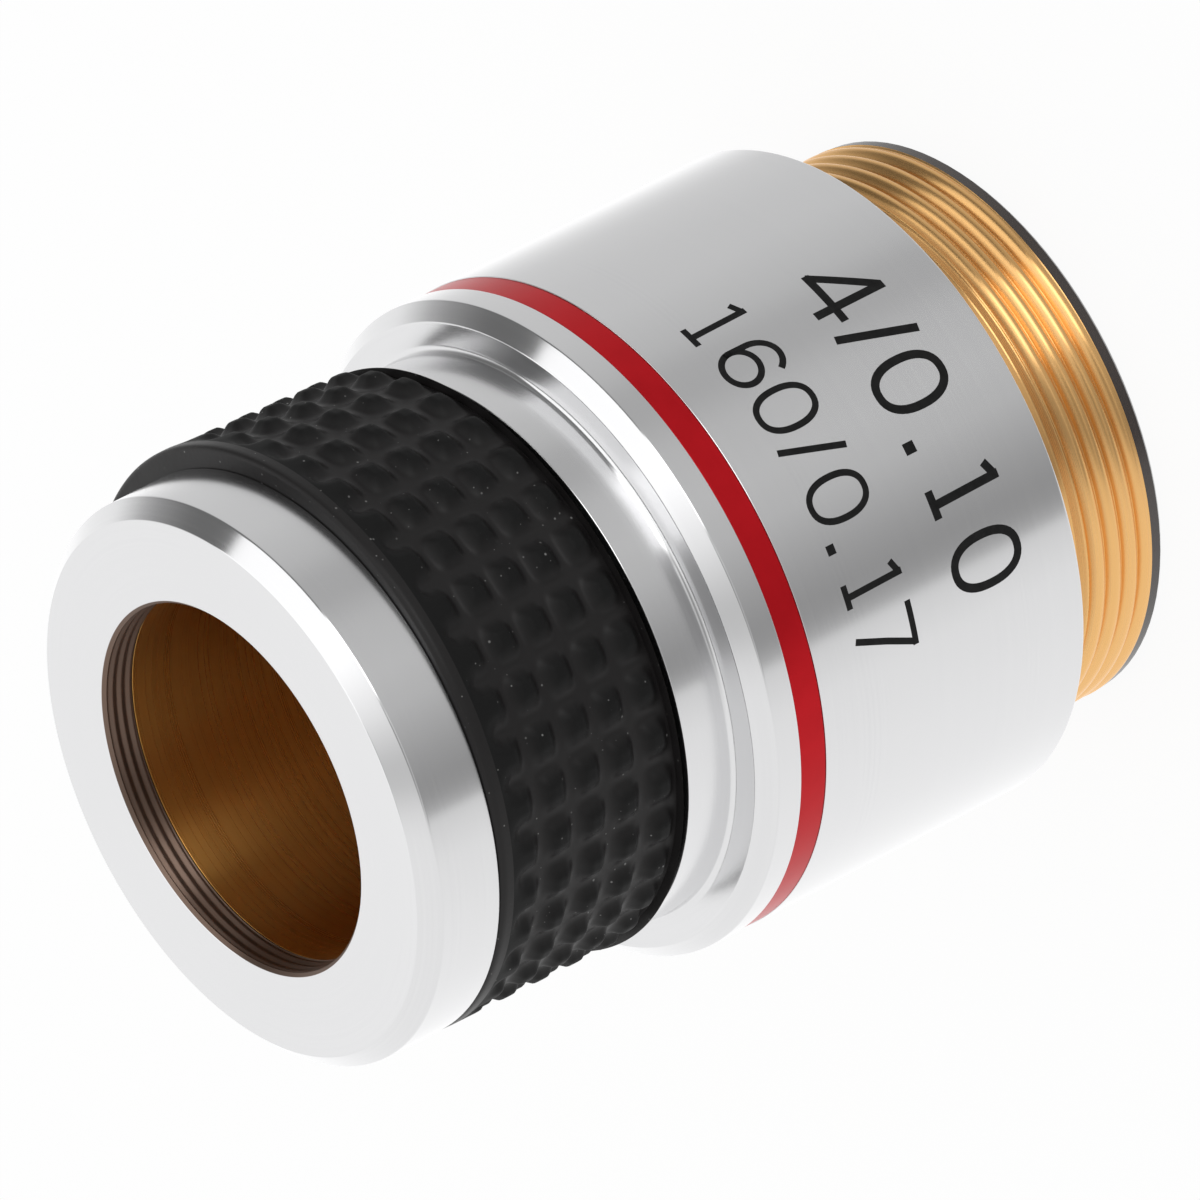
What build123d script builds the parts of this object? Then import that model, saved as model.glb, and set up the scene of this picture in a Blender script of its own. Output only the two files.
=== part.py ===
from build123d import *
from math import cos, radians, sin, sqrt, tan
import os

# Microscope objective: a 4x/0.10 achromat for a 160 mm tube with the standard 20.32 mm x 36 tpi
# thread. It stands on its rear ring with the nose up. The optical axis is Z and the rear face is
# Z = 0. Lengths are in millimetres. Names in _d are diameters. All diameters follow from the
# mounting thread, step by step, outwards to the sleeve and inwards to the lenses.

os.makedirs("parts", exist_ok=True)

# Gaps between the pieces
thread_gap = 0.03          # radial play between two threads drawn at their pitch size
slip_gap = 0.04            # radial play of a piece that slides in
seat_gap = 0.01            # play of what is stretched, pressed or painted on

# Mount barrel, with the thread for the nosepiece
thread_d = 20.24
thread_stand_out = 4.92    # mounting shoulder to the rear face of the rear ring
thread_lead = 0.30         # bevel at the thread's relief
relief_depth = 0.42
relief_length = 1.46
flange_rim = 0.38          # the flange stands out past the thread
flange_depth = 0.80        # the flange goes this far into the sleeve
joint_step = 0.50          # relief to the thread that holds the sleeve on the barrel
joint_length = 6.00
tube_step = 1.50           # joint thread to the tube
tube_rear_wall = 0.45      # round the cell's thread
cell_seat = 0.65           # width of the face against which the cell is screwed
front_gap = 0.05           # the tube ends this far behind the mouth's inner face

# Outer sleeve, from the nose face to the mounting shoulder
nose_bevel = 0.60
nose_land_length = 3.01    # with the bevel
mouth_step = 0.04          # the fine mouth thread stands in from the tube's bore
mouth_bevel = 0.13
mouth_depth = 1.20
grip_groove_depth = 0.83
grip_groove_length = 8.05
neck_length = 1.94
neck_cove = 0.25
body_step = 1.62           # neck to body
body_length = 13.84        # step to mounting shoulder
body_bevel = 0.56
shoulder_width = 1.25
shoulder_edge = 0.12
band_offset = 1.52         # step to colour band
band_width = 1.08
band_groove_depth = 0.14
band_sink = 0.03           # the enamel lies this far below the metal

# Rubber grip
grip_rise = 0.29           # the crests stand this far out from the nose land
grip_length_gap = 0.08     # the ring is this much shorter than its groove
grip_lip_length = 0.20
grip_lip_bevel = 0.12
grip_tail_length = 0.40
grip_tail_rise = 0.12      # above the valleys between the pads
grip_tail_bevel = 0.15
pad_height = 0.40
pad_columns = 5
pad_rows = 36
pad_flank = 34.0           # degrees by which a pad's sides lean in
pad_turn = 7.0             # degrees from +X to the first long groove
cross_groove_floor = 0.12
long_groove_floor = 0.20

# Cemented doublet; the flint faces the nose
lens_height = 8.79         # mounting shoulder to the flint's front vertex
flint_front_radius = 41.6
cement_radius = 12.4
crown_rear_radius = 18.5
flint_thickness = 1.50     # at the centre
crown_edge = 1.08          # thickness at the rim

# Lens cell and the rings around it
shim_thickness = 0.20
cell_lip = 0.80
cell_lip_width = 0.60      # the lip and the retaining ring cover this much of the lens's rim
cell_front_mouth = 0.45
cell_rear_wall = 0.85      # round the stop
stop_seat = 0.50           # width of the face on which the stop lies
ring_step = 0.40           # retaining ring's thread to the lens
retainer_thickness = 1.10
stop_recess_depth = 0.45
stop_thickness = 0.30
stop_width = 2.55          # from the stop's rim to its hole
cell_tail = 1.00           # retaining ring to the stop's recess
lock_ring_thickness = 1.50
lock_ring_width = 1.25
slot_width = 1.00
slot_depth = 0.60

# Rear ring
rear_flange = 0.50
rear_flange_sink = 0.04    # below the thread's crests
rear_spigot_length = 3.00
rear_spigot_wall = 0.95
rear_edge = 0.12
rear_slot_width = 1.20
rear_slot_rim = 0.90       # left whole outside the slots
rear_slot_depth = 0.35

# Diameters outwards from the thread
flange_d = thread_d + 2 * flange_rim
body_d = flange_d + 2 * shoulder_width
neck_d = body_d - 2 * body_step
grip_groove_d = neck_d - 2 * grip_groove_depth
grip_crest_d = neck_d + 2 * grip_rise

# Diameters inwards from the thread
relief_d = thread_d - 2 * relief_depth
joint_d = relief_d - 2 * joint_step
tube_d = joint_d - 2 * tube_step
cell_bore_d = tube_d - 2 * tube_rear_wall
tube_bore_d = cell_bore_d - 2 * cell_seat
mouth_d = tube_bore_d - 2 * mouth_step
lock_ring_bore_d = cell_bore_d - 2 * lock_ring_width
stop_recess_d = cell_bore_d - 2 * cell_rear_wall
stop_hole_d = stop_recess_d - 2 * stop_width
ring_thread_d = stop_recess_d - 2 * stop_seat
lens_d = ring_thread_d - 2 * ring_step
clear_d = lens_d - 2 * cell_lip_width
rear_flange_d = thread_d - 2 * rear_flange_sink
rear_bore_d = cell_bore_d - 2 * rear_spigot_wall


def sag(radius, height):
    """Depth of a spherical surface at this height from the axis."""
    return radius - sqrt(radius**2 - height**2)


def circles_at(part, z, radius):
    """The part's circular edges at this height and radius."""
    near = part.edges().filter_by(GeomType.CIRCLE).filter_by_position(Axis.Z, z - 0.001, z + 0.001)
    return near.filter_by(lambda edge: abs(edge.radius - radius) < 0.001)


def save(piece, name):
    """Label the finished piece and write it as one STEP file."""
    piece.part.label = name
    export_step(piece.part, f"parts/{name}.step")


# Heights of the main planes
shoulder_z = thread_stand_out
step_z = shoulder_z + body_length
neck_z = step_z + neck_length
groove_z = neck_z + grip_groove_length
nose_z = groove_z + nose_land_length
mouth_z = nose_z - mouth_depth
flange_z = shoulder_z + flange_depth
joint_z = flange_z + joint_length
tube_end_z = mouth_z - front_gap

# Outer sleeve: one turned and plated piece
sleeve_joint_r = joint_d / 2 + thread_gap
sleeve_tube_r = tube_d / 2 + slip_gap
sleeve_flange_r = flange_d / 2 + slip_gap
joint_bore_z = joint_z + slip_gap
band_top_z = step_z - band_offset
band_low_z = band_top_z - band_width
band_floor_r = body_d / 2 - band_groove_depth

with BuildPart() as outer_sleeve:
    with BuildSketch(Plane.XZ):
        with BuildLine():
            Polyline(
                (mouth_d / 2, nose_z),
                (neck_d / 2, nose_z),
                (neck_d / 2, groove_z),
                (grip_groove_d / 2, groove_z),
                (grip_groove_d / 2, neck_z),
                (neck_d / 2, neck_z),
                (neck_d / 2, step_z),
                (body_d / 2, step_z),
                (body_d / 2, band_top_z),
                (band_floor_r, band_top_z),
                (band_floor_r, band_low_z),
                (body_d / 2, band_low_z),
                (body_d / 2, shoulder_z),
                (sleeve_flange_r, shoulder_z),
                (sleeve_flange_r, flange_z),
                (sleeve_joint_r, flange_z),
                (sleeve_joint_r, joint_bore_z),
                (sleeve_tube_r, joint_bore_z),
                (sleeve_tube_r, mouth_z),
                (mouth_d / 2, mouth_z),
                close=True,
            )
        make_face()
    revolve(axis=Axis.Z)
    chamfer(circles_at(outer_sleeve, step_z, neck_d / 2), neck_cove)
    chamfer(circles_at(outer_sleeve, nose_z, neck_d / 2), nose_bevel)
    chamfer(circles_at(outer_sleeve, nose_z, mouth_d / 2), mouth_bevel)
    chamfer(circles_at(outer_sleeve, step_z, body_d / 2), body_bevel)
    chamfer(circles_at(outer_sleeve, shoulder_z, body_d / 2), shoulder_edge)
save(outer_sleeve, "outer_sleeve")

# Colour band: enamel in the sleeve's groove, a little below the metal
band_r = body_d / 2 - band_sink
with BuildPart() as colour_band:
    with BuildSketch(Plane.XY.offset(band_low_z + seat_gap)):
        Circle(band_r)
        Circle(band_floor_r + seat_gap, mode=Mode.SUBTRACT)
    extrude(amount=band_width - 2 * seat_gap)
save(colour_band, "colour_band")

# Rubber grip: a moulded ring with a round lip towards the nose and a low tail towards the neck.
# Between them it has as many flats as rows of pads, and each pad is a truncated pyramid on a flat.
grip_top_z = groove_z - seat_gap
grip_low_z = neck_z + grip_length_gap
grip_bore_r = grip_groove_d / 2 + seat_gap
crest_r = grip_crest_d / 2
valley_r = crest_r - pad_height
tail_r = valley_r + grip_tail_rise
flank_run = pad_height * tan(radians(pad_flank))
lip_end_z = grip_top_z - grip_lip_length
pads_top_z = lip_end_z - flank_run
pads_low_z = grip_low_z + grip_tail_length
pad_pitch = (pads_top_z - pads_low_z) / pad_columns
pad_foot_length = pad_pitch - cross_groove_floor
pad_foot_width = 2 * valley_r * tan(radians(180 / pad_rows)) - long_groove_floor
pad_planes = []
for row in range(pad_rows):
    angle = radians(pad_turn + (row + 0.5) * 360 / pad_rows)
    for column in range(pad_columns):
        pad_z = pads_top_z - (column + 0.5) * pad_pitch
        foot_centre = (valley_r * cos(angle), valley_r * sin(angle), pad_z)
        pad_planes.append(Plane(foot_centre, x_dir=(0, 0, 1), z_dir=(-sin(angle), cos(angle), 0)))

with BuildPart() as grip_ring:
    with BuildSketch(Plane.XY.offset(pads_low_z)):
        RegularPolygon(valley_r, pad_rows, major_radius=False, rotation=pad_turn)
        Circle(grip_bore_r, mode=Mode.SUBTRACT)
    extrude(amount=lip_end_z - pads_low_z)
    with Locations(*pad_planes):
        Wedge(
            pad_foot_length,
            pad_height,
            pad_foot_width,
            flank_run,
            flank_run,
            pad_foot_length - flank_run,
            pad_foot_width - flank_run,
            align=(Align.CENTER, Align.MIN, Align.CENTER),
        )
    with BuildSketch(Plane.XZ):
        with BuildLine():
            Polyline(
                (grip_bore_r, grip_top_z),
                (crest_r, grip_top_z),
                (crest_r, lip_end_z),
                (valley_r, pads_top_z),
                (grip_bore_r, pads_top_z),
                close=True,
            )
        make_face()
        with BuildLine():
            Polyline(
                (grip_bore_r, pads_low_z),
                (tail_r, pads_low_z),
                (tail_r, grip_low_z),
                (grip_bore_r, grip_low_z),
                close=True,
            )
        make_face()
    revolve(axis=Axis.Z)
    chamfer(circles_at(grip_ring, grip_top_z, crest_r), grip_lip_bevel)
    chamfer(circles_at(grip_ring, grip_low_z, tail_r), grip_tail_bevel)
save(grip_ring, "grip_ring")

# Heights of the optics, worked out from the lens
lens_r = lens_d / 2
flint_front_z = shoulder_z + lens_height
cement_z = flint_front_z - flint_thickness
cement_edge_z = cement_z - sag(cement_radius, lens_r)
crown_edge_z = cement_edge_z - crown_edge
crown_rear_z = crown_edge_z - sag(crown_rear_radius, lens_r)
lip_z = flint_front_z - sag(flint_front_radius, clear_d / 2)
cell_front_z = lip_z + cell_lip
cell_seat_z = cell_front_z + shim_thickness
retainer_z = crown_rear_z + sag(crown_rear_radius, clear_d / 2)
stop_z = retainer_z - retainer_thickness - cell_tail
cell_rear_z = stop_z - stop_recess_depth
lock_ring_z = cell_rear_z - lock_ring_thickness

# Mount barrel: the tube seen through the mouth, the joint with the sleeve, and the mount thread
with BuildPart() as mount_barrel:
    with BuildSketch(Plane.XZ):
        with BuildLine():
            Polyline(
                (tube_bore_d / 2, tube_end_z),
                (tube_d / 2, tube_end_z),
                (tube_d / 2, joint_z),
                (joint_d / 2, joint_z),
                (joint_d / 2, flange_z),
                (flange_d / 2, flange_z),
                (flange_d / 2, shoulder_z),
                (relief_d / 2, shoulder_z),
                (relief_d / 2, shoulder_z - relief_length),
                (thread_d / 2, shoulder_z - relief_length),
                (thread_d / 2, rear_flange),
                (cell_bore_d / 2, rear_flange),
                (cell_bore_d / 2, cell_seat_z),
                (tube_bore_d / 2, cell_seat_z),
                close=True,
            )
        make_face()
    revolve(axis=Axis.Z)
    chamfer(circles_at(mount_barrel, shoulder_z - relief_length, thread_d / 2), thread_lead)
save(mount_barrel, "mount_barrel")

# Parfocal shim: sets how far the cell stands from its seat
shim_r = cell_bore_d / 2 - slip_gap
with BuildPart() as parfocal_shim:
    with BuildSketch(Plane.XY.offset(cell_front_z)):
        Circle(shim_r)
        Circle(tube_bore_d / 2 + slip_gap, mode=Mode.SUBTRACT)
    extrude(amount=shim_thickness)
save(parfocal_shim, "parfocal_shim")

# Lens cell: screwed in from the rear, with the doublet against its front lip
cell_r = cell_bore_d / 2 - thread_gap
pocket_r = lens_d / 2 + slip_gap
with BuildPart() as lens_cell:
    with BuildSketch(Plane.XZ):
        with BuildLine():
            Polyline(
                (clear_d / 2, cell_front_z),
                (cell_r, cell_front_z),
                (cell_r, cell_rear_z),
                (stop_recess_d / 2, cell_rear_z),
                (stop_recess_d / 2, stop_z),
                (ring_thread_d / 2, stop_z),
                (ring_thread_d / 2, crown_edge_z),
                (pocket_r, crown_edge_z),
                (pocket_r, lip_z),
                (clear_d / 2, lip_z),
                close=True,
            )
        make_face()
    revolve(axis=Axis.Z)
    chamfer(circles_at(lens_cell, cell_front_z, clear_d / 2), cell_front_mouth)
save(lens_cell, "lens_cell")

# Flint: negative meniscus, the half of the doublet that faces the nose
with BuildPart() as flint_lens:
    with BuildSketch(Plane.XY.offset(cement_edge_z)):
        Circle(lens_r)
    extrude(amount=flint_front_z - cement_edge_z)
    with Locations((0, 0, flint_front_z - flint_front_radius)):
        Sphere(flint_front_radius, rotation=(90, 0, 0), mode=Mode.INTERSECT)
    with Locations((0, 0, cement_z - cement_radius)):
        Sphere(cement_radius, rotation=(90, 0, 0), mode=Mode.SUBTRACT)
save(flint_lens, "flint_lens")

# Crown: biconvex, cemented to the flint
with BuildPart() as crown_lens:
    with BuildSketch(Plane.XY.offset(crown_rear_z)):
        Circle(lens_r)
    extrude(amount=cement_z - crown_rear_z)
    with Locations((0, 0, cement_z - cement_radius)):
        Sphere(cement_radius, rotation=(90, 0, 0), mode=Mode.INTERSECT)
    with Locations((0, 0, crown_rear_z + crown_rear_radius)):
        Sphere(crown_rear_radius, rotation=(90, 0, 0), mode=Mode.INTERSECT)
save(crown_lens, "crown_lens")

# Retaining ring: its front edge bears on the crown, and a pin wrench turns it by its two slots
with BuildPart() as lens_retaining_ring:
    with BuildSketch(Plane.XY.offset(retainer_z - retainer_thickness)):
        Circle(ring_thread_d / 2 - thread_gap)
        Circle(clear_d / 2, mode=Mode.SUBTRACT)
    extrude(amount=retainer_thickness)
    with BuildSketch(Plane.XY.offset(retainer_z - retainer_thickness)):
        Rectangle(ring_thread_d, slot_width)
    extrude(amount=slot_depth, mode=Mode.SUBTRACT)
save(lens_retaining_ring, "lens_retaining_ring")

# Aperture stop: thin disc pressed into the recess behind the doublet
with BuildPart() as aperture_stop:
    with BuildSketch(Plane.XY.offset(stop_z - stop_thickness)):
        Circle(stop_recess_d / 2 - seat_gap)
        Circle(stop_hole_d / 2, mode=Mode.SUBTRACT)
    extrude(amount=stop_thickness)
save(aperture_stop, "aperture_stop")

# Lock ring: jams the cell against its shim
with BuildPart() as cell_lock_ring:
    with BuildSketch(Plane.XY.offset(lock_ring_z)):
        Circle(cell_r)
        Circle(lock_ring_bore_d / 2, mode=Mode.SUBTRACT)
    extrude(amount=lock_ring_thickness)
    with BuildSketch(Plane.XY.offset(lock_ring_z)):
        Rectangle(cell_bore_d, slot_width)
    extrude(amount=slot_depth, mode=Mode.SUBTRACT)
save(cell_lock_ring, "cell_lock_ring")

# Rear ring: black flange over the thread's end, with a spigot that screws into the barrel
spigot_top_z = rear_flange + rear_spigot_length
with BuildPart() as rear_ring:
    with BuildSketch(Plane.XZ):
        with BuildLine():
            Polyline(
                (rear_bore_d / 2, 0),
                (rear_flange_d / 2, 0),
                (rear_flange_d / 2, rear_flange),
                (cell_r, rear_flange),
                (cell_r, spigot_top_z),
                (rear_bore_d / 2, spigot_top_z),
                close=True,
            )
        make_face()
    revolve(axis=Axis.Z)
    chamfer(circles_at(rear_ring, 0, rear_flange_d / 2), rear_edge)
    with BuildSketch(Plane.XY):
        SlotOverall(rear_flange_d - 2 * rear_slot_rim, rear_slot_width)
    extrude(amount=rear_slot_depth, mode=Mode.SUBTRACT)
save(rear_ring, "rear_ring")
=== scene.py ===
import bpy
import numpy as np
from math import cos, pi, radians, sin
from mathutils import Matrix, Vector


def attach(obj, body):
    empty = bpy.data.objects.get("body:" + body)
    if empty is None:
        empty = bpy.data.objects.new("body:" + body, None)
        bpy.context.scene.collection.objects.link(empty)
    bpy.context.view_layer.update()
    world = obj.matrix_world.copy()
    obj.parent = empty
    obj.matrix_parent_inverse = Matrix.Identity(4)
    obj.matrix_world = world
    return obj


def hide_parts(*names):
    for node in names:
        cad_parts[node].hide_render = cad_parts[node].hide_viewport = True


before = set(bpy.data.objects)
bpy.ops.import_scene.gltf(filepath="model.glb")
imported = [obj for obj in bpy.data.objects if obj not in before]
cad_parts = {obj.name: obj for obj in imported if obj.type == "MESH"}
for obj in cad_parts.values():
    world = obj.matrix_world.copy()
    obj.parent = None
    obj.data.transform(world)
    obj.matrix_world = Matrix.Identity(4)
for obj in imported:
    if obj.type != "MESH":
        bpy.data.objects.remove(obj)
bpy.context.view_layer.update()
bpy.context.scene.view_settings.view_transform = "Standard"

MM = 0.001
# The nose face lies at this height, and the marks' places are measured from it
nose_z = 31.76

# Camera: a long lens that looks down on the objective from the front at 31 degrees and is turned
# on its side, so that the nose comes out at the lower left of the picture. The middle of the
# picture is so far to the right of the nose's centre and above it, seen along the lens.
tilt = radians(31.193)
roll = radians(-116.8)
middle_right = 12.082
middle_up = 6.198
distance = 673.3
look = Vector((0, cos(tilt), -sin(tilt)))
level_up = Vector((0, sin(tilt), cos(tilt)))
level_right = Vector((1, 0, 0))
cam_right = cos(roll) * level_right + sin(roll) * level_up
cam_up = -sin(roll) * level_right + cos(roll) * level_up
nose_centre = Vector((0, 0, nose_z))
cam_place = nose_centre + middle_right * cam_right + middle_up * cam_up - distance * look
camera_data = bpy.data.cameras.new("camera")
camera_data.lens = 618.06
camera_data.sensor_width = 36
camera_data.clip_start = 0.05
camera_data.clip_end = 5
camera = bpy.data.objects.new("camera", camera_data)
turn = Matrix((cam_right, cam_up, -look)).transposed().to_4x4()
camera.matrix_world = Matrix.Translation(cam_place * MM) @ turn
bpy.context.collection.objects.link(camera)
bpy.context.scene.camera = camera


# Outer sleeve: turned from brass bar in one piece, polished on the lathe and plated in satin
# chrome. The fine thread in its mouth and its groove for the rubber are cut before plating.
def rounded(outline):
    """Closed profile (r, z) from corners (r, z, rounding, rows). Each corner becomes a short
    parabola that starts and ends on its two sides at the rounding's distance, and the side after it
    is cut into rows. The parabola's points are (1-s)^2 A + 2 s (1-s) B + s^2 C."""
    corners = np.array([c[:2] for c in outline], float)
    count = len(corners)
    points = []
    for i, (_, _, rounding, rows) in enumerate(outline):
        here = corners[i]
        after = corners[(i + 1) % count]
        back = corners[i - 1] - here
        ahead_length = np.hypot(*(after - here))
        back_length = np.hypot(*back)
        reach = min(rounding, 0.45 * ahead_length, 0.45 * back_length)
        enter = here + back * (reach / back_length)
        leave = here + (after - here) * (reach / ahead_length)
        s = np.linspace(0, 1, 6)[:, None]
        points.append((1 - s) ** 2 * enter + 2 * s * (1 - s) * here + s**2 * leave)
        if rows > 1:
            reach_after = min(outline[(i + 1) % count][2], 0.45 * ahead_length)
            stop = after - (after - here) * (reach_after / ahead_length)
            s = np.linspace(0, 1, rows + 1)[1:-1, None]
            points.append((1 - s) * leave + s * stop)
    return np.concatenate(points)


def turned(name, outline, around=384, cut=None):
    """Ring with a closed profile that runs anticlockwise in (r, z). Point (i, j) is (r_i cos a_j,
    r_i sin a_j, z_i), and cut(r, z, a) returns the r and z of a thread or of pads. Normals are the
    cross product of the differences along both directions of the grid."""
    profile = rounded(outline)
    angles = np.arange(around) * 2 * pi / around
    r = np.repeat(profile[:, :1], around, axis=1)
    z = np.repeat(profile[:, 1:], around, axis=1)
    a = np.repeat(angles[None], len(profile), axis=0)
    if cut:
        r, z = cut(r, z, a)
    place = np.stack((r * np.cos(a), r * np.sin(a), z), axis=2)
    round_step = np.roll(place, -1, axis=1) - np.roll(place, 1, axis=1)
    along = np.roll(place, -1, axis=0) - np.roll(place, 1, axis=0)
    normals = np.cross(round_step, along).reshape(-1, 3)
    normals /= np.linalg.norm(normals, axis=1)[:, None]
    low = np.arange(r.size).reshape(r.shape)
    high = np.roll(low, -1, axis=0)
    quads = np.stack((low, np.roll(low, -1, axis=1), np.roll(high, -1, axis=1), high), axis=2)
    faces = quads.reshape(-1, 4).tolist()
    mesh = bpy.data.meshes.new(name)
    mesh.from_pydata((place.reshape(-1, 3) * MM).tolist(), [], faces)
    mesh.polygons.foreach_set("use_smooth", np.ones(len(faces), bool))
    mesh.update()
    mesh.normals_split_custom_set_from_vertices(normals.tolist())
    piece = bpy.data.objects.new(name, mesh)
    bpy.context.collection.objects.link(piece)
    return piece


def measured(items, what):
    """The vertices' or the faces' places in millimetres, one row each."""
    places = np.empty(len(items) * 3)
    items.foreach_get(what, places)
    return places.reshape(-1, 3) / MM


def new_material(name, colour, metallic, roughness):
    """A material with its shader's own numbers set, its nodes and its shader."""
    made = bpy.data.materials.new(name)
    made.use_nodes = True
    shader = made.node_tree.nodes["Principled BSDF"]
    shader.inputs["Base Color"].default_value = (*colour, 1)
    shader.inputs["Metallic"].default_value = metallic
    shader.inputs["Roughness"].default_value = roughness
    return made, made.node_tree, shader


def reckoned(tree, operation, *values):
    """A sum done on sockets and plain numbers."""
    node = tree.nodes.new("ShaderNodeMath")
    node.operation = operation
    for socket, value in zip(node.inputs, values):
        if isinstance(value, (int, float)):
            socket.default_value = value
        else:
            tree.links.new(value, socket)
    return node.outputs[0]


def ranged(tree, value, low, high, to_low=0, to_high=1):
    """The value's way from low to high as a way from to_low to to_high, held at both ends."""
    node = tree.nodes.new("ShaderNodeMapRange")
    node.inputs["From Min"].default_value = low
    node.inputs["From Max"].default_value = high
    node.inputs["To Min"].default_value = to_low
    node.inputs["To Max"].default_value = to_high
    tree.links.new(value, node.inputs["Value"])
    return node.outputs[0]


def two_tone(tree, share, colour_a, colour_b):
    """The first colour where the share is 0 and the second where it is 1. A colour is a socket or
    three numbers."""
    node = tree.nodes.new("ShaderNodeMix")
    node.data_type = "RGBA"
    tree.links.new(share, node.inputs[0])
    for socket, colour in ((node.inputs[6], colour_a), (node.inputs[7], colour_b)):
        if isinstance(colour, tuple):
            socket.default_value = (*colour, 1)
        else:
            tree.links.new(colour, socket)
    return node.outputs[2]


def mottled(tree, scale, detail=2):
    """Noise read at the piece's own coordinates."""
    where = tree.nodes.new("ShaderNodeTexCoord")
    noise = tree.nodes.new("ShaderNodeTexNoise")
    noise.inputs["Scale"].default_value = scale
    noise.inputs["Detail"].default_value = detail
    tree.links.new(where.outputs["Object"], noise.inputs["Vector"])
    return noise.outputs["Fac"]


def masked(tree, name):
    """A number that the mesh keeps for each of its points."""
    node = tree.nodes.new("ShaderNodeAttribute")
    node.attribute_name = name
    return node.outputs["Fac"]


def dented(tree, shader, height, depth, strength=1):
    """Bumps on the shader's surface, with their depth in metres."""
    node = tree.nodes.new("ShaderNodeBump")
    node.inputs["Strength"].default_value = strength
    node.inputs["Distance"].default_value = depth
    tree.links.new(height, node.inputs["Height"])
    tree.links.new(node.outputs[0], shader.inputs["Normal"])


def lathe_marks(tree, shader, scale, depth, roughness, colour_a, colour_b):
    """Fine rings left by the tool: noise read at (distance from the axis, 0, height), so that it
    runs round the piece on cylinders and on flat faces alike. It tints, roughens and dents, and the
    tint and the roughness are returned."""
    where = tree.nodes.new("ShaderNodeTexCoord")
    flat = tree.nodes.new("ShaderNodeVectorMath")
    flat.operation = "MULTIPLY"
    flat.inputs[1].default_value = (1, 1, 0)
    length = tree.nodes.new("ShaderNodeVectorMath")
    length.operation = "LENGTH"
    split = tree.nodes.new("ShaderNodeSeparateXYZ")
    join = tree.nodes.new("ShaderNodeCombineXYZ")
    tree.links.new(where.outputs["Object"], flat.inputs[0])
    tree.links.new(flat.outputs[0], length.inputs[0])
    tree.links.new(where.outputs["Object"], split.inputs[0])
    tree.links.new(length.outputs["Value"], join.inputs["X"])
    tree.links.new(split.outputs["Z"], join.inputs["Z"])
    rings = tree.nodes.new("ShaderNodeTexNoise")
    rings.inputs["Scale"].default_value = scale
    rings.inputs["Detail"].default_value = 4
    rings.inputs["Roughness"].default_value = 0.65
    tree.links.new(join.outputs[0], rings.inputs["Vector"])
    gloss = ranged(tree, rings.outputs["Fac"], 0.3, 0.7, *roughness)
    tree.links.new(gloss, shader.inputs["Roughness"])
    tint = two_tone(tree, rings.outputs["Fac"], colour_a, colour_b)
    tree.links.new(tint, shader.inputs["Base Color"])
    dented(tree, shader, rings.outputs["Fac"], depth)
    return tint, gloss


def brushed_round(tree, shader, amount):
    """The marks run round the axis, so the gloss spreads along it: the tangent is the direction
    round Z, turned by a quarter."""
    tangent = tree.nodes.new("ShaderNodeTangent")
    tangent.direction_type = "RADIAL"
    tangent.axis = "Z"
    tree.links.new(tangent.outputs[0], shader.inputs["Tangent"])
    shader.inputs["Anisotropic"].default_value = amount
    shader.inputs["Anisotropic Rotation"].default_value = 0.25


def dress(piece, skin, slot, *stands_for):
    """Give the piece its material, let it ride on the body and stand for its node. The slot is not
    used.
    """
    piece.data.materials.append(skin)
    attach(piece, "root")
    if stands_for:
        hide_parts(*stands_for)


body_r = 11.75
shoulder_z = 4.92
shoulder_edge = 0.12
step_z = 18.76
body_bevel = 0.56
land_r = 10.13
neck_z = 20.70
neck_cove = 0.26
groove_z = 28.75
groove_floor_r = 9.30
nose_bevel = 0.60
band_low_z = 16.16
band_top_z = 17.24
band_floor_r = 11.61
mouth_r = 6.56
mouth_z = 30.56
mouth_bevel = 0.13
mouth_pitch = 0.36
mouth_thread_depth = 0.065
# The bore behind the mouth, with room for the barrel's tube, its joint thread and its flange
tube_room_r = 7.74
joint_room_r = 9.23
joint_room_z = 11.76
flange_room_r = 10.54
flange_room_z = 5.72


def mouth_thread(r, z, a):
    """Vee grooves that wind into the mouth. With f the fraction of a turn z / pitch - a / 2 pi and
    w = 1 - |2 f - 1|, the bore's radius grows by the depth times 1.25 w - 0.12, held between 0 and 1
    and faded out at both ends of the mouth."""
    turn_part = np.mod(z / mouth_pitch - a / (2 * pi), 1)
    wave = 1 - np.abs(2 * turn_part - 1)
    inside = (r < mouth_r + 0.01) & (z > mouth_z + 0.02) & (z < nose_z - 0.12)
    fade_in = np.clip((z - mouth_z - 0.02) / 0.06, 0, 1)
    fade_out = np.clip((nose_z - mouth_bevel - z) / 0.04, 0, 1)
    deeper = mouth_thread_depth * np.clip(1.25 * wave - 0.12, 0, 1) * (fade_in * fade_out)
    return np.where(inside, r + deeper, r), z


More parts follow.
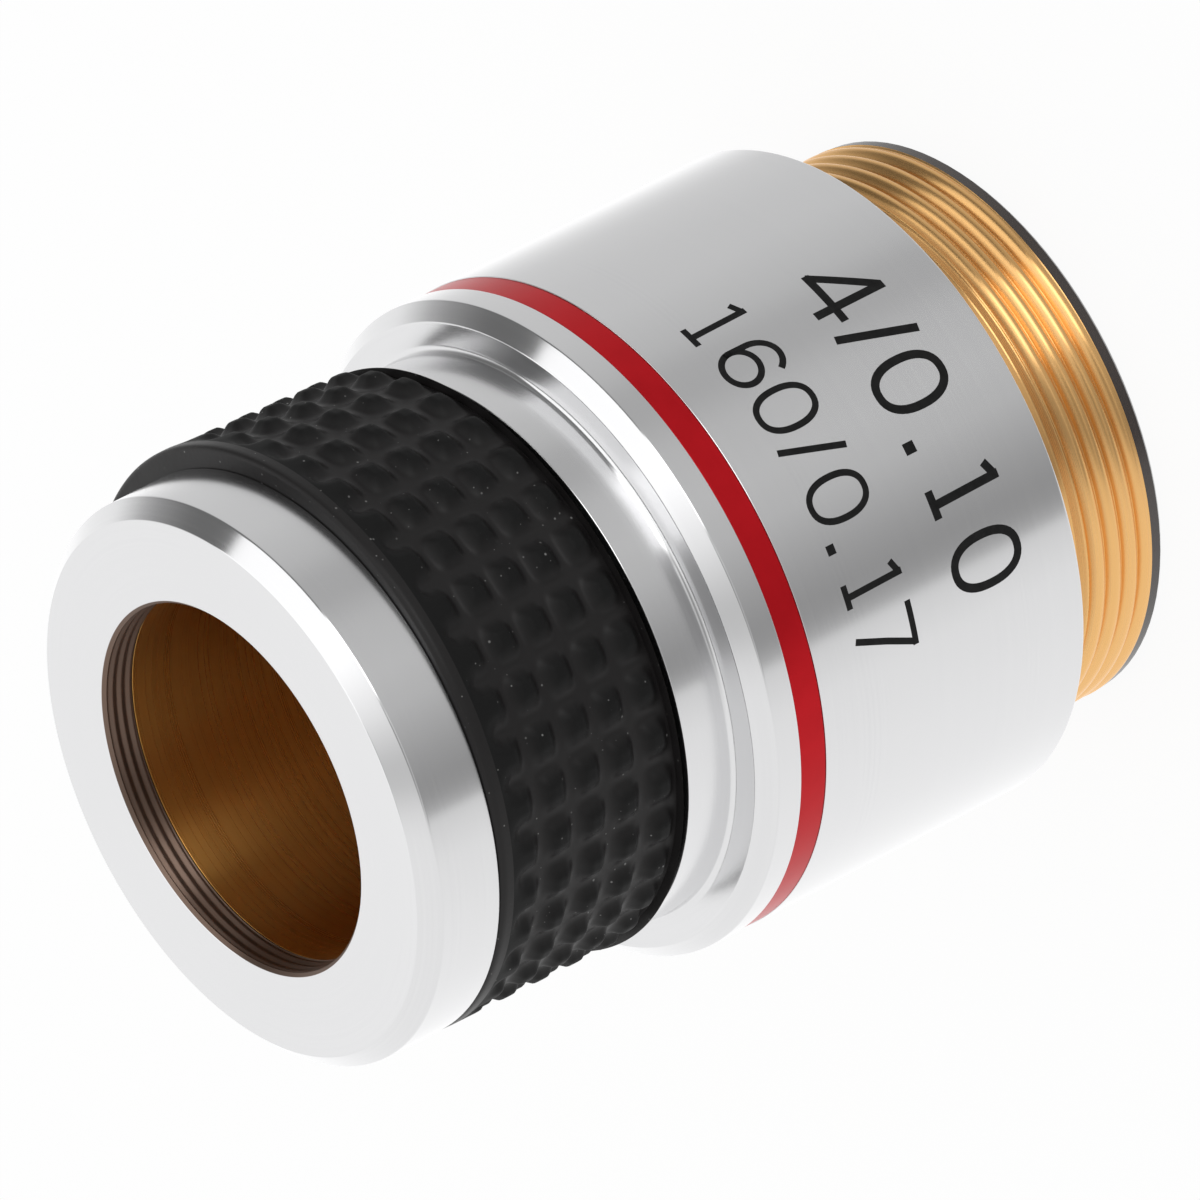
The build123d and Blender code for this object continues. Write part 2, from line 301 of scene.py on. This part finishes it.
sleeve = turned(
    "satin_sleeve",
    [
        (flange_room_r, shoulder_z, 0.04, 1),
        (body_r, shoulder_z, shoulder_edge, 12),
        (body_r, band_low_z, 0.03, 1),
        (band_floor_r, band_low_z, 0.02, 1),
        (band_floor_r, band_top_z, 0.02, 1),
        (body_r, band_top_z, 0.03, 1),
        (body_r, step_z - body_bevel, 0.05, 4),
        (body_r - body_bevel, step_z, 0.04, 1),
        (land_r, step_z, neck_cove, 1),
        (land_r, neck_z, 0.05, 1),
        (groove_floor_r, neck_z, 0.05, 1),
        (groove_floor_r, groove_z, 0.05, 1),
        (land_r, groove_z, 0.05, 1),
        (land_r, nose_z - nose_bevel, 0.06, 4),
        (land_r - nose_bevel, nose_z, 0.04, 6),
        (mouth_r + mouth_bevel, nose_z, 0.03, 1),
        (mouth_r, nose_z - mouth_bevel, 0.02, 44),
        (mouth_r, mouth_z, 0.03, 1),
        (tube_room_r, mouth_z, 0.02, 1),
        (tube_room_r, joint_room_z, 0.02, 1),
        (joint_room_r, joint_room_z, 0.02, 1),
        (joint_room_r, flange_room_z, 0.02, 1),
        (flange_room_r, flange_room_z, 0.02, 1),
    ],
    cut=mouth_thread,
)
# The mouth's thread is thinly plated and so rougher. A number on its points roughens it and darkens its
# colour to a dark brown, which is painted shade with a painted reflection of the brass tube in the
# mouth
places = measured(sleeve.data.vertices, "co")
in_mouth = (np.hypot(places[:, 0], places[:, 1]) < mouth_r + 0.12) & (places[:, 2] > mouth_z - 0.01)
sleeve.data.attributes.new("thread", "FLOAT", "POINT").data.foreach_set("value", in_mouth * 1.0)
chrome, tree, shader = new_material("satin_chrome", (0.78, 0.78, 0.79), 1, 0.16)
chrome_tint, chrome_gloss = lathe_marks(
    tree, shader, 9000, 0.0000003, (0.15, 0.18), (0.75, 0.75, 0.76), (0.80, 0.80, 0.805)
)
brushed_round(tree, shader, 0.85)
in_thread = masked(tree, "thread")
# Painted shade and painted reflection: the mouth's colour is turned a dark brown
tint_with_mouth_shade = two_tone(tree, in_thread, chrome_tint, (0.20, 0.14, 0.11))
tree.links.new(tint_with_mouth_shade, shader.inputs["Base Color"])
thread_gloss = reckoned(tree, "MULTIPLY_ADD", in_thread, 0.25, chrome_gloss)
tree.links.new(thread_gloss, shader.inputs["Roughness"])
dress(sleeve, chrome, "plated_sleeve", "outer_sleeve")


# Colour band: red enamel run into the groove in the sleeve and turned back, so that it lies a
# few hundredths below the metal. It marks the magnification.
enamel_r = 11.72
enamel_floor_r = 11.62
enamel_low_z = 16.17
enamel_top_z = 17.23
band = turned(
    "red_band",
    [
        (enamel_floor_r, enamel_low_z, 0.01, 1),
        (enamel_r, enamel_low_z, 0.03, 8),
        (enamel_r, enamel_top_z, 0.03, 1),
        (enamel_floor_r, enamel_top_z, 0.01, 1),
    ],
)
enamel, tree, shader = new_material("red_enamel", (0.5, 0.01, 0.015), 0.6, 0.3)
shader.inputs["Specular IOR Level"].default_value = 0.2
flow = mottled(tree, 900, 3)
shade = two_tone(tree, flow, (0.46, 0.005, 0.010), (0.56, 0.008, 0.015))
tree.links.new(shade, shader.inputs["Base Color"])
dented(tree, shader, flow, 0.000004)
dress(band, enamel, "band_enamel", "colour_band")


# Rubber grip: a moulded ring stretched into its groove, five rows of 36 soft-edged pads. It sits
# a little out of true, so its lip stands out on one side, and it picks up fine dust.
grip_low = 20.78
grip_top = 28.74
grip_bore_r = 9.31
tail_r = 9.98
tail_top_z = 20.98
tail_top_r = 10.12
crest_r = 10.44
lip_r = 10.42
pads_low = 21.12
pads_top = 28.27
pad_columns = 5
pad_rows = 36
pad_turn = radians(7)
valley_depth = 0.36
# What lies farther out than this is the ring's outer surface
grip_skin_r = 9.9


def pad_form(z, a):
    """1 on a pad and 0 in the grooves. Each way across a pad, x runs from 0 at its middle to 1 at
    the groove's. The form falls by the smooth step 3 t^2 - 2 t^3 of t = (x - 0.2) / 0.72 along the
    axis and of (x - 0.2) / 0.74 round it, and the two ways are multiplied. The row at the lip runs
    up to it: it has no fall on that side, and its grooves grow in from the lip."""
    column = (pads_top - z) / (pads_top - pads_low) * pad_columns
    row = (a - pad_turn) / (2 * pi) * pad_rows
    along = 2 * np.abs(np.mod(column, 1) - 0.5)
    across = 2 * np.abs(np.mod(row, 1) - 0.5)
    along = np.clip((along - 0.20) / 0.72, 0, 1) * (column > 0.5)
    across = np.clip((across - 0.20) / 0.74, 0, 1) * np.clip(2.2 * column, 0, 1)
    form = (1 - along * along * (3 - 2 * along)) * (1 - across * across * (3 - 2 * across))
    return np.where((z < pads_top) & (z > pads_low), form, 0)


def pads(r, z, a):
    """The outer surface drops by the valley's depth where the pads' form is 0. It also lies off by
    0.10 h + (0.20 + 0.19 h) cos a, with h the share of the height from tail to lip, because the
    ring sits high on the side at angle 0. That starts over the lowest 8 hundredths."""
    outside = r > grip_skin_r
    share = np.clip((z - grip_low) / (grip_top - grip_low), 0, 1)
    lifted = (0.10 * share + (0.20 + 0.19 * share) * np.cos(a)) * np.clip(share / 0.08, 0, 1)
    between = (z < pads_top) & (z > pads_low)
    dropped = np.where(between, valley_depth * (1 - pad_form(z, a)), 0)
    return np.where(outside, r - dropped + lifted, r), z


grip = turned(
    "rubber_grip",
    [
        (grip_bore_r, grip_low, 0.05, 1),
        (tail_r, grip_low, 0.12, 6),
        (tail_top_r, tail_top_z, 0.10, 3),
        (crest_r, pads_low, 0.02, 96),
        (crest_r, pads_top, 0.02, 4),
        (lip_r, grip_top, 0.30, 2),
        (grip_bore_r, grip_top, 0.05, 1),
    ],
    around=576,
    cut=pads,
)
places = measured(grip.data.vertices, "co")
on_pads = pad_form(places[:, 2], np.arctan2(places[:, 1], places[:, 0]))
grip.data.attributes.new("raised", "FLOAT", "POINT").data.foreach_set("value", on_pads)
rubber, tree, shader = new_material("black_rubber", (0.01, 0.01, 0.01), 0, 0.45)
shader.inputs["Specular IOR Level"].default_value = 0.24
raised = masked(tree, "raised")
wear = mottled(tree, 420, 4)
# Painted light and shade on the pads: the valleys' colour is lighter, standing in for the light they
# catch from below, and the pads' tops are darker, standing in for the dark surroundings they reflect
shade = two_tone(tree, raised, (0.012, 0.011, 0.011), (0.002, 0.002, 0.002))
# Dust: specks that differ in size up to threefold and lie in patches where the wear is strong
where = tree.nodes.new("ShaderNodeTexCoord")
specks = tree.nodes.new("ShaderNodeTexVoronoi")
specks.inputs["Scale"].default_value = 3400
tree.links.new(where.outputs["Object"], specks.inputs["Vector"])
speck_chance = tree.nodes.new("ShaderNodeSeparateColor")
tree.links.new(specks.outputs["Color"], speck_chance.inputs[0])
shrink = reckoned(tree, "MULTIPLY_ADD", speck_chance.outputs[1], 2, 1)
speck_reach = reckoned(tree, "MULTIPLY", specks.outputs["Distance"], shrink)
speck_size = ranged(tree, speck_reach, 0.20, 0.03)
patchy = ranged(tree, wear, 0.42, 0.62, 0.95, 0.10)
chosen = reckoned(tree, "GREATER_THAN", speck_chance.outputs[0], patchy)
dust = reckoned(tree, "MULTIPLY", speck_size, chosen)
dusty = two_tone(tree, dust, shade, (0.22, 0.22, 0.215))
tree.links.new(dusty, shader.inputs["Base Color"])
uneven = reckoned(tree, "MULTIPLY_ADD", wear, 0.5, raised)
tree.links.new(ranged(tree, uneven, 0, 1, 0.34, 0.66), shader.inputs["Roughness"])
dented(tree, shader, mottled(tree, 5200, 5), 0.000008, 0.6)
dress(grip, rubber, "grip_rubber", "grip_ring")


# Mount barrel: turned from brass and lacquered. Its tube shows through the mouth, and its male
# thread, a 55 degree form of 36 turns to the inch, screws into the nosepiece.
thread_pitch = 0.7056
thread_r = 10.12
thread_depth = 0.30
thread_start = 0.31
thread_low_z = 0.50
thread_top_z = 3.06
thread_fade = 0.12
relief_r = 9.70
relief_low_z = 3.44
flange_r = 10.50
joint_r = 9.20
joint_top_z = 11.72
tube_r = 7.70
tube_top_z = 30.51
tube_bore_r = 6.60
cell_seat_z = 14.42
cell_bore_r = 7.25
# What lies farther out than this, up to just past the thread's run-out, is the thread
thread_skin_r = 9.9
run_out_z = relief_low_z + 0.03


def mount_thread(r, z, a):
    """A right-hand helix, worn round by polishing. With f the fraction of a turn z / pitch - a / 2 pi,
    w = 1 - |2 f - 1| is 0 at the root and 1 at the crest, and the radius drops by depth (1 - w)^2,
    an arch from root to root. It fades in from the rear end, and leaves the relief alone."""
    turn_part = np.mod(z / thread_pitch - a / (2 * pi) + thread_start, 1)
    w = 1 - np.abs(2 * turn_part - 1)
    on_thread = (r > thread_skin_r) & (z < run_out_z) & (z > thread_low_z)
    fade = np.clip((z - thread_low_z) / thread_fade, 0, 1)
    return np.where(on_thread, np.minimum(r, thread_r - thread_depth * (1 - w) ** 2 * fade), r), z


barrel = turned(
    "brass_barrel",
    [
        (cell_bore_r, thread_low_z, 0.04, 1),
        (thread_r, thread_low_z, 0.03, 112),
        (thread_r, thread_top_z, 0.04, 8),
        (relief_r, relief_low_z, 0.05, 3),
        (relief_r, shoulder_z, 0.04, 1),
        (flange_r, shoulder_z, 0.03, 1),
        (flange_r, flange_room_z, 0.03, 1),
        (joint_r, flange_room_z, 0.03, 1),
        (joint_r, joint_top_z, 0.05, 1),
        (tube_r, joint_top_z, 0.03, 1),
        (tube_r, tube_top_z, 0.03, 1),
        (tube_bore_r, tube_top_z, 0.03, 1),
        (tube_bore_r, cell_seat_z, 0.03, 1),
        (cell_bore_r, cell_seat_z, 0.03, 1),
    ],
    cut=mount_thread,
)
brass, tree, shader = new_material("lacquered_brass", (0.88, 0.52, 0.20), 1, 0.26)
lathe_marks(tree, shader, 7000, 0.0000005, (0.22, 0.30), (0.85, 0.48, 0.17), (0.92, 0.56, 0.24))
brushed_round(tree, shader, 0.8)
dress(barrel, brass, "lacquered_brass", "mount_barrel")

# The tube's bore is drilled and reamed: the same brass, with shallow marks that spread the light far
# along the tube. Its colour is painted a little darker and deeper orange than the outside, as painted
# shade of the deep bore.
bored, tree, shader = new_material("bored_brass", (0.80, 0.44, 0.13), 1, 0.28)
lathe_marks(tree, shader, 9000, 0.00000003, (0.26, 0.30), (0.77, 0.42, 0.11), (0.83, 0.46, 0.13))
brushed_round(tree, shader, 0.92)
barrel.data.materials.append(bored)
middles = measured(barrel.data.polygons, "center")
in_bore = np.hypot(middles[:, 0], middles[:, 1]) < tube_bore_r + 0.15
in_bore &= middles[:, 2] > cell_seat_z - 0.02
barrel.data.polygons.foreach_set("material_index", in_bore.astype(np.int32))


# Rear ring: aluminium, turned and anodised black. It covers the thread's end, and its spigot
# screws into the barrel. The CAD solid is right as it is and only gets its finish.
def refinish(skin, *names):
    """Give this finish to CAD nodes that stay."""
    for name in names:
        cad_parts[name].data.materials.clear()
        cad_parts[name].data.materials.append(skin)


anodised, tree, shader = new_material("black_anodised", (0.03, 0.02, 0.016), 0, 0.24)
lathe_marks(
    tree, shader, 8000, 0.000001, (0.20, 0.30), (0.022, 0.015, 0.012), (0.040, 0.027, 0.022)
)
shader.inputs["Specular IOR Level"].default_value = 0.9
refinish(anodised, "rear_ring")


# Lens cell, its two rings and the stop: brass, turned, threaded and chemically blackened so that
# they reflect no stray light. Their CAD solids stay and get this finish.
blackened, tree, shader = new_material("blackened_brass", (0.02, 0.018, 0.017), 0.3, 0.5)
lathe_marks(
    tree, shader, 6000, 0.000002, (0.42, 0.58), (0.014, 0.013, 0.012), (0.034, 0.030, 0.027)
)
refinish(blackened, "lens_cell", "lens_retaining_ring", "cell_lock_ring", "aperture_stop")


# Parfocal shim: a ring of thin rolled brass sheet, punched out, with the rolling's fine grain.
rolled, tree, shader = new_material("rolled_brass", (0.78, 0.52, 0.20), 1, 0.3)
where = tree.nodes.new("ShaderNodeTexCoord")
along_grain = tree.nodes.new("ShaderNodeVectorMath")
along_grain.operation = "MULTIPLY"
along_grain.inputs[1].default_value = (300, 9000, 300)
tree.links.new(where.outputs["Object"], along_grain.inputs[0])
grain = tree.nodes.new("ShaderNodeTexNoise")
grain.inputs["Scale"].default_value = 1
tree.links.new(along_grain.outputs[0], grain.inputs["Vector"])
shade = two_tone(tree, grain.outputs["Fac"], (0.70, 0.45, 0.16), (0.84, 0.58, 0.25))
tree.links.new(shade, shader.inputs["Base Color"])
refinish(rolled, "parfocal_shim")


# Cemented doublet: flint in front and crown behind, polished glass with a thin bluish coating
# whose tint drifts a little over the surface.
glass, tree, shader = new_material("coated_glass", (0.97, 0.98, 1.0), 0, 0.02)
shader.inputs["Transmission Weight"].default_value = 1
shader.inputs["IOR"].default_value = 1.52
coating = two_tone(tree, mottled(tree, 160), (0.55, 0.50, 1.0), (0.70, 0.66, 1.0))
tree.links.new(coating, shader.inputs["Specular Tint"])
refinish(glass, "flint_lens", "crown_lens")


# Marks: generic numbers for magnification, aperture, tube length and cover glass, engraved with
# a round-nosed cutter and filled with black paint. The letters' feet point to the nose.
def arc(x, y, rx, ry, start, end, power=2.0):
    """Points of a superellipse arc: (rx |cos t|^q, ry |sin t|^q) with their signs, q = 2 / power."""
    t = np.radians(np.linspace(start, end, 2 + int(abs(end - start) / 9)))
    q = 2 / power
    curve_x = x + rx * np.sign(np.cos(t)) * np.abs(np.cos(t)) ** q
    return np.stack((curve_x, y + ry * np.sign(np.sin(t)) * np.abs(np.sin(t)) ** q), axis=1)


def line(*corners):
    """Points along straight runs between the corners, about a twentieth of a height apart."""
    corners = np.array(corners, float)
    runs = []
    for start, end in zip(corners, corners[1:]):
        share = np.linspace(0, 1, 2 + int(np.hypot(*(end - start)) / 0.05))[:, None]
        runs.append(start + (end - start) * share[:-1])
    return np.vstack(runs + [corners[-1:]])


# Strokes of each sign, in heights of a digit, from the middle of its foot
strokes = {
    "0": [arc(0, 0.5, 0.29, 0.452, 0, 360, 2.3)],
    "1": [
        line((-0.19, 0.865), (0.0, 0.955)),
        line((-0.01, 1.0), (0.0, 0.5), (0.01, 0.05)),
        line((-0.17, 0.05), (0.17, 0.05)),
    ],
    "4": [
        line((0.16, 1.0), (0.165, 0.0)),
        line((0.37, 0.275), (-0.37, 0.275)),
        line((-0.34, 0.26), (0.15, 0.965)),
    ],
    "6": [
        np.vstack((arc(0.02, 0.60, 0.29, 0.355, 38, 180), arc(0, 0.32, 0.27, 0.275, 180, 200))),
        arc(0, 0.32, 0.27, 0.275, 0, 360),
    ],
    "7": [
        line((-0.31, 0.955), (0.33, 0.955)),
        line((0.285, 0.955), (0.09, 0.50), (-0.10, 0.0)),
    ],
    "/": [line((-0.145, 0.0), (0.145, 1.0))],
    ".": [line((-0.07, 0.07), (0.07, 0.07))],
}
paint_r = body_r + 0.004
paint_floor_r = body_r - 0.02
dot_widening = 1.4


def painted(stroke, foot_depth, height, bearing, width):
    """One stroke as a thin closed strip bent round the barrel. Its points are moved half the width
    to each side along (-dy, dx), at two radii, and the four rows are joined."""
    step = np.gradient(stroke, axis=0)
    if np.allclose(stroke[0], stroke[-1]):
        step[0] = step[-1] = stroke[1] - stroke[-2]
    step /= np.linalg.norm(step, axis=1)[:, None]
    side = np.stack((-step[:, 1], step[:, 0]), axis=1) * width / 2
    rows = []
    for offset, r in ((-side, paint_r), (side, paint_r), (side, paint_floor_r), (-side, paint_floor_r)):
        flat = stroke * height + offset
        a = -(radians(bearing) + flat[:, 0] / body_r)
        z = nose_z - foot_depth - flat[:, 1]
        rows.append(np.stack((r * np.cos(a), r * np.sin(a), z), axis=1))
    count = len(stroke)
    index = np.arange(4 * count).reshape(4, count)
    beside = np.roll(index, -1, axis=0)
    quads = np.stack((index[:, :-1], index[:, 1:], beside[:, 1:], beside[:, :-1]), axis=2)
    faces = quads.reshape(-1, 4).tolist() + [index[:, 0].tolist(), index[::-1, -1].tolist()]
    return np.concatenate(rows), faces


# Each row's foot below the nose face, height and stroke width, and its signs with their bearings
rows_of_marks = (
    (
        21.755, 2.94, 0.31,
        (("4", 61.5), ("/", 71.2), ("0", 80.7), (".", 90.2), ("1", 100.2), ("0", 112.1)),
    ),
    (
        17.40, 2.48, 0.235,
        (
            ("1", 57.0), ("6", 66.1), ("0", 75.4), ("/", 83.3),
            ("0", 92.0), (".", 99.1), ("1", 107.3), ("7", 116.0),
        ),
    ),
)
mark_points = []
mark_faces = []
for foot_depth, height, width, signs in rows_of_marks:
    for sign, bearing in signs:
        for stroke in strokes[sign]:
            wide = dot_widening * width if sign == "." else width
            points, faces = painted(stroke, foot_depth, height, bearing, wide)
            first = sum(len(p) for p in mark_points)
            mark_points.append(points)
            mark_faces += [[corner + first for corner in face] for face in faces]
marks_mesh = bpy.data.meshes.new("engraved_marks")
marks_mesh.from_pydata((np.concatenate(mark_points) * MM).tolist(), [], mark_faces)
marks = bpy.data.objects.new("engraved_marks", marks_mesh)
bpy.context.collection.objects.link(marks)
paint, tree, shader = new_material("black_paint", (0.012, 0.012, 0.012), 0, 0.5)
shade = two_tone(tree, mottled(tree, 4000), (0.004, 0.004, 0.004), (0.016, 0.016, 0.016))
tree.links.new(shade, shader.inputs["Base Color"])
shader.inputs["Specular IOR Level"].default_value = 0.12
dress(marks, paint, "black_anodised")


# Floor: a plain white table top, which the metal doesn't mirror, so that the lights' pattern
# stays clean on it. The camera sees most of it as even white, and from below it is clear.
def either(tree, share, first, second):
    """The first shader where the share is 0 and the second where it is 1."""
    node = tree.nodes.new("ShaderNodeMixShader")
    for socket, source in zip(node.inputs, (share, first, second)):
        tree.links.new(source, socket)
    return node.outputs[0]


reach = 1.5
even_white = 0.93
floor_mesh = bpy.data.meshes.new("floor")
corners = [(-reach, -reach, 0), (reach, -reach, 0), (reach, reach, 0), (-reach, reach, 0)]
floor_mesh.from_pydata(corners, [], [(0, 1, 2, 3)])
floor = bpy.data.objects.new("floor", floor_mesh)
bpy.context.collection.objects.link(floor)
floor.visible_glossy = False
white, tree, shader = new_material("white_table", (0.9, 0.9, 0.9), 0, 0.9)
glow = tree.nodes.new("ShaderNodeEmission")
glow.inputs["Strength"].default_value = 1
path = tree.nodes.new("ShaderNodeLightPath")
share = reckoned(tree, "MULTIPLY", path.outputs["Is Camera Ray"], even_white)
above = either(tree, share, shader.outputs[0], glow.outputs[0])
clear = tree.nodes.new("ShaderNodeBsdfTransparent")
side = tree.nodes.new("ShaderNodeNewGeometry")
surface = either(tree, side.outputs["Backfacing"], above, clear.outputs[0])
tree.links.new(surface, tree.nodes["Material Output"].inputs["Surface"])
floor_mesh.materials.append(white)


# Studio light: the world is a ring of soft walls below and white panels above, with darker gaps
# between them. The camera sees it as plain white.
world = bpy.data.worlds.new("studio")
bpy.context.scene.world = world
world.use_nodes = True
tree = world.node_tree
where = tree.nodes.new("ShaderNodeTexCoord")
split = tree.nodes.new("ShaderNodeSeparateXYZ")
tree.links.new(where.outputs["Generated"], split.inputs[0])
bearing = reckoned(tree, "ARCTAN2", split.outputs["X"], split.outputs["Y"])
turn_share = ranged(tree, bearing, -pi, pi)
full_level = 3.0


def grey(level):
    """A light's level as a colour, with the world's full level as white."""
    return (level / full_level,) * 3


def light_round(table):
    """Grey stops at bearings in degrees from the back (+Y) towards +X, with the level at each."""
    ramp = tree.nodes.new("ShaderNodeValToRGB")
    elements = ramp.color_ramp.elements
    elements.remove(elements[1])
    for k, (degrees, level) in enumerate(table):
        spot = (degrees + 180) / 360
        stop = elements[0] if k == 0 else elements.new(spot)
        stop.position = spot
        stop.color = (*grey(level), 1)
    tree.links.new(turn_share, ramp.inputs[0])
    return ramp.outputs[0]


def towards(direction, low, high):
    """0 to 1 as the product of the ray with this direction goes from low to high."""
    product = tree.nodes.new("ShaderNodeVectorMath")
    product.operation = "DOT_PRODUCT"
    product.inputs[1].default_value = direction
    tree.links.new(where.outputs["Generated"], product.inputs[0])
    return ranged(tree, product.outputs["Value"], low, high)


walls = light_round(
    [
        (-180, 0.56), (-170, 0.48), (-160, 0.40), (-150, 0.34), (-144, 0.35), (-138, 0.46),
        (-135, 0.78), (-118, 0.92), (-90, 0.98), (-60, 1.02), (-20, 1.12), (0, 1.20), (18, 1.16),
        (32, 0.88), (45, 0.74), (70, 0.69), (90, 0.67), (112, 0.58), (122, 0.49), (132, 0.48),
        (146, 0.55), (165, 0.58), (180, 0.56),
    ]
)
low_panels = light_round(
    [
        (-180, 0.98), (-154, 0.66), (-142, 0.66), (-130, 0.86), (-118, 0.95), (-90, 0.95),
        (-20, 1.0), (0, 1.02), (30, 1.02), (36, 0.96), (42, 0.72), (47, 0.48), (53, 0.32),
        (60, 0.22), (66, 0.16), (138, 0.16), (146, 2.8), (170, 2.8), (176, 0.7), (180, 0.7),
    ]
)
high_panels = light_round(
    [
        (-180, 0.98), (-154, 0.66), (-142, 0.66), (-130, 0.86), (-118, 0.95), (-20, 1.0),
        (0, 1.3), (150, 1.3), (165, 1.12), (180, 0.98),
    ]
)
# The high panels hang above 25 degrees, and their edge is a plane that leans over the left side
past_edge = towards((-0.423, -0.656, 0.626), -0.04, -0.02)
high_up = towards((0, 0, 1), 0.40, 0.46)
light = two_tone(tree, reckoned(tree, "MULTIPLY", past_edge, high_up), low_panels, high_panels)
# Dark gap near the top, and the photographer behind the camera
light = two_tone(tree, towards((-0.150, 0.110, 0.9825), 0.984, 0.992), light, grey(0.16))
light = two_tone(tree, towards((-0.258, -0.844, 0.469), 0.91, 0.975), light, grey(0.32))
over_horizon = towards((0, 0, 1), -0.25, 0.05)
sky = tree.nodes["Background"]
tree.links.new(two_tone(tree, over_horizon, walls, light), sky.inputs["Color"])
sky.inputs["Strength"].default_value = full_level
seen = tree.nodes.new("ShaderNodeBackground")
seen.inputs["Color"].default_value = (1, 1, 1, 1)
path = tree.nodes.new("ShaderNodeLightPath")
surface = either(tree, path.outputs["Is Camera Ray"], sky.outputs[0], seen.outputs[0])
tree.links.new(surface, tree.nodes["World Output"].inputs["Surface"])
